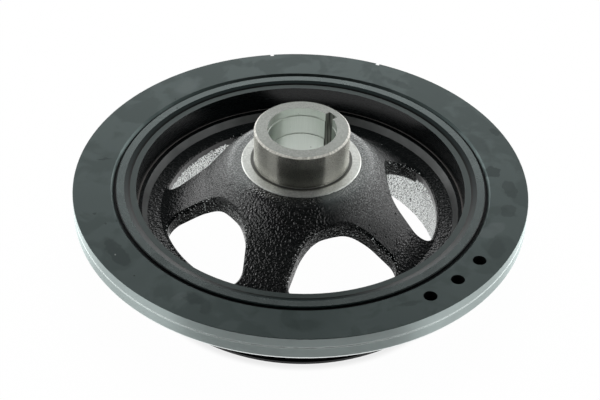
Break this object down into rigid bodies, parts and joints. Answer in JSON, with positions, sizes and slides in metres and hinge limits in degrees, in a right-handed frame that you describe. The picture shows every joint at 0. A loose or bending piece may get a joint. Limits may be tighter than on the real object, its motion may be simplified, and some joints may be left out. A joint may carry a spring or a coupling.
{
  "type": "crankshaft pulley",
  "caption": "Crankshaft pulley with a keyed hub, conical spoked web, multi-rib belt barrel and an outer inertia ring bonded on a thin rubber ring.",
  "frame": {"origin": "on the crankshaft axis, in the plane of the belt-side end that the pulley stands on", "axes": "+Z along the crankshaft axis towards the engine; the keyway is 39 degrees round from +X towards +Y"},
  "size_m": [0.207, 0.207, 0.0744],
  "materials": {
    "hub_casting": "black paint over as-cast iron, with bare machined boss, collar, bore and belt grooves",
    "damper_rubber": "matt black elastomer",
    "inertia_ring": "dark grey phosphated faces with a bare turned rim"
  },
  "bodies": {
    "root": {"hub_casting": "hub_casting", "damper_rubber": "damper_rubber", "inertia_ring": "inertia_ring"}
  },
  "joints": []
}
